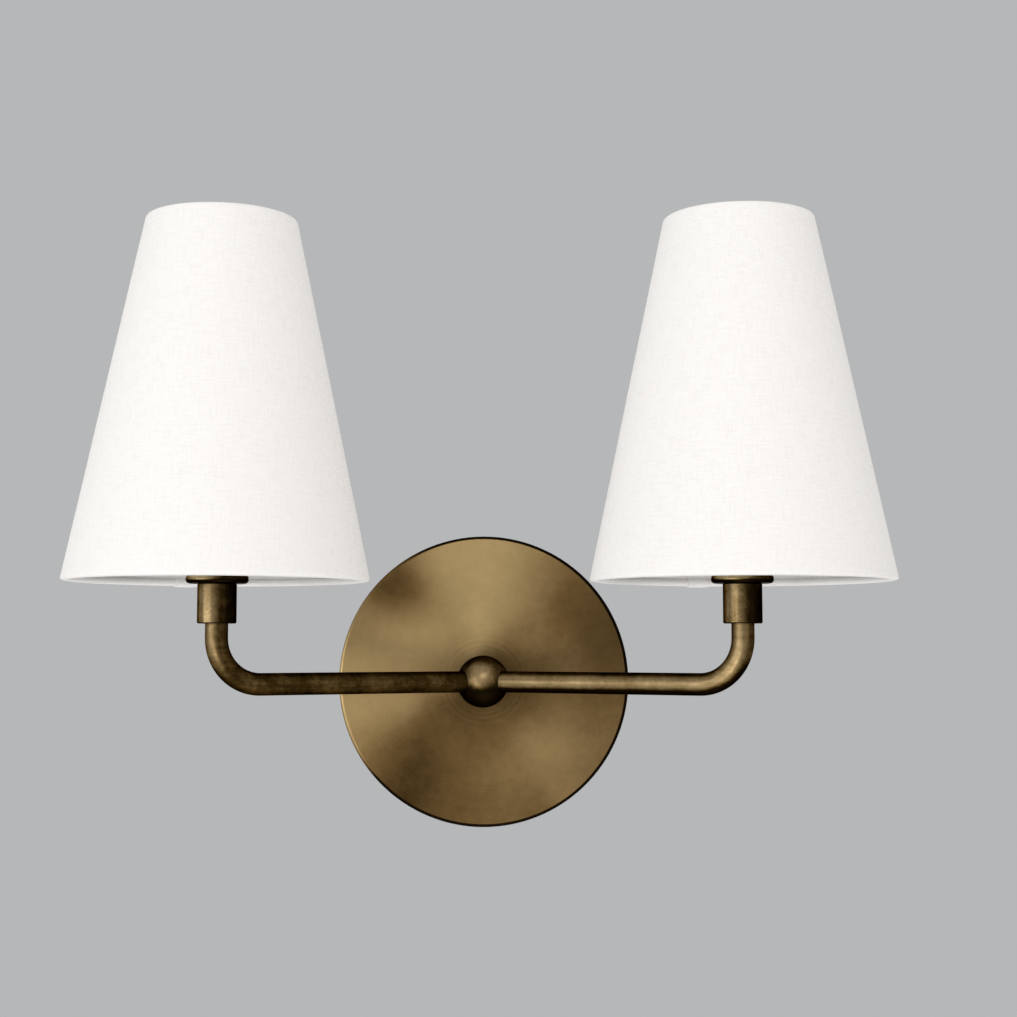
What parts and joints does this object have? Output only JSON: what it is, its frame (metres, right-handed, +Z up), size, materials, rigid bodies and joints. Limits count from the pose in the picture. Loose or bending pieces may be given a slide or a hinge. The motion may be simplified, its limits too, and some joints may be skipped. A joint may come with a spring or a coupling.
{
  "type": "wall sconce",
  "caption": "Wall light with two upswept tube arms from a ball on a round canopy, each holding a tapered fabric shade over a slim bulb.",
  "frame": {"origin": "centre of the canopy's back rim, on the wall plane", "axes": "+Z up, +X to the viewer's right along the wall, +Y into the wall; the light stands out along -Y"},
  "size_m": [0.3454, 0.1606, 0.2623],
  "materials": {
    "aged_brass": "satin aged brass, spun and brushed, lacquered",
    "bright_brass": "plain machined brass",
    "zinc_steel": "zinc plated steel",
    "green_steel": "green passivated steel",
    "copper": "bare copper strand",
    "black_insulation": "black lead insulation",
    "white_insulation": "white lead insulation",
    "connector_plastic": "moulded orange plastic",
    "socket_phenolic": "moulded black phenolic",
    "ring_phenolic": "moulded black phenolic",
    "wire_white": "white powder coated steel wire",
    "liner_plastic": "matt translucent liner sheet",
    "linen": "fine plain weave white linen",
    "cap_metal": "rolled thin nickel plated cap",
    "clear_glass": "clear glass",
    "tip_glass": "black insulating glass",
    "filament_metal": "drawn wire on a glass stem"
  },
  "bodies": {
    "fixture": {"wall_bracket": "zinc_steel", "canopy": "aged_brass", "canopy_side_screws": "aged_brass", "ground_screw": "green_steel", "ground_terminals": "zinc_steel", "ground_lead": "copper", "canopy_nipple": "zinc_steel", "canopy_washer": "zinc_steel", "canopy_nut": "zinc_steel", "neck_collar": "aged_brass", "hub_ball": "aged_brass", "wire_connectors": "connector_plastic", "left_arm": "aged_brass", "left_cup": "aged_brass", "left_flange": "aged_brass", "left_arm_nipple": "zinc_steel", "left_socket_body": "socket_phenolic", "left_socket_shell": "bright_brass", "left_socket_contact": "bright_brass", "left_seat_ring": "ring_phenolic", "left_live_lead": "black_insulation", "left_neutral_lead": "white_insulation", "right_arm": "aged_brass", "right_cup": "aged_brass", "right_flange": "aged_brass", "right_arm_nipple": "zinc_steel", "right_socket_body": "socket_phenolic", "right_socket_shell": "bright_brass", "right_socket_contact": "bright_brass", "right_seat_ring": "ring_phenolic", "right_live_lead": "black_insulation", "right_neutral_lead": "white_insulation"},
    "left_shade": {"left_shade_hub": "wire_white", "left_shade_frame": "wire_white", "left_shade_top_ring": "wire_white", "left_shade_liner": "liner_plastic", "left_shade_fabric": "linen"},
    "left_clamp": {"left_clamp_ring": "ring_phenolic"},
    "left_bulb": {"left_bulb_cap": "cap_metal", "left_bulb_tip": "tip_glass", "left_bulb_glass": "clear_glass", "left_bulb_filament": "filament_metal"},
    "right_shade": {"right_shade_hub": "wire_white", "right_shade_frame": "wire_white", "right_shade_top_ring": "wire_white", "right_shade_liner": "liner_plastic", "right_shade_fabric": "linen"},
    "right_clamp": {"right_clamp_ring": "ring_phenolic"},
    "right_bulb": {"right_bulb_cap": "cap_metal", "right_bulb_tip": "tip_glass", "right_bulb_glass": "clear_glass", "right_bulb_filament": "filament_metal"}
  },
  "joints": [
    {"name": "left_shade_lift", "type": "slide", "parent": "fixture", "child": "left_shade", "axis": [0, 0, 1], "range_m": [0, 0.2]},
    {"name": "left_clamp_turn", "type": "hinge", "parent": "left_shade", "child": "left_clamp", "pos_m": [-0.1093, -0.09721, 0.0591], "axis": [0, 0, 1], "range_deg": [0, 2160]},
    {"name": "left_bulb_lift", "type": "slide", "parent": "fixture", "child": "left_bulb", "axis": [0, 0, 1], "range_m": [0, 0.18]},
    {"name": "right_shade_lift", "type": "slide", "parent": "fixture", "child": "right_shade", "axis": [0, 0, 1], "range_m": [0, 0.2]},
    {"name": "right_clamp_turn", "type": "hinge", "parent": "right_shade", "child": "right_clamp", "pos_m": [0.1093, -0.09721, 0.0591], "axis": [0, 0, 1], "range_deg": [0, 2160]},
    {"name": "right_bulb_lift", "type": "slide", "parent": "fixture", "child": "right_bulb", "axis": [0, 0, 1], "range_m": [0, 0.18]}
  ]
}
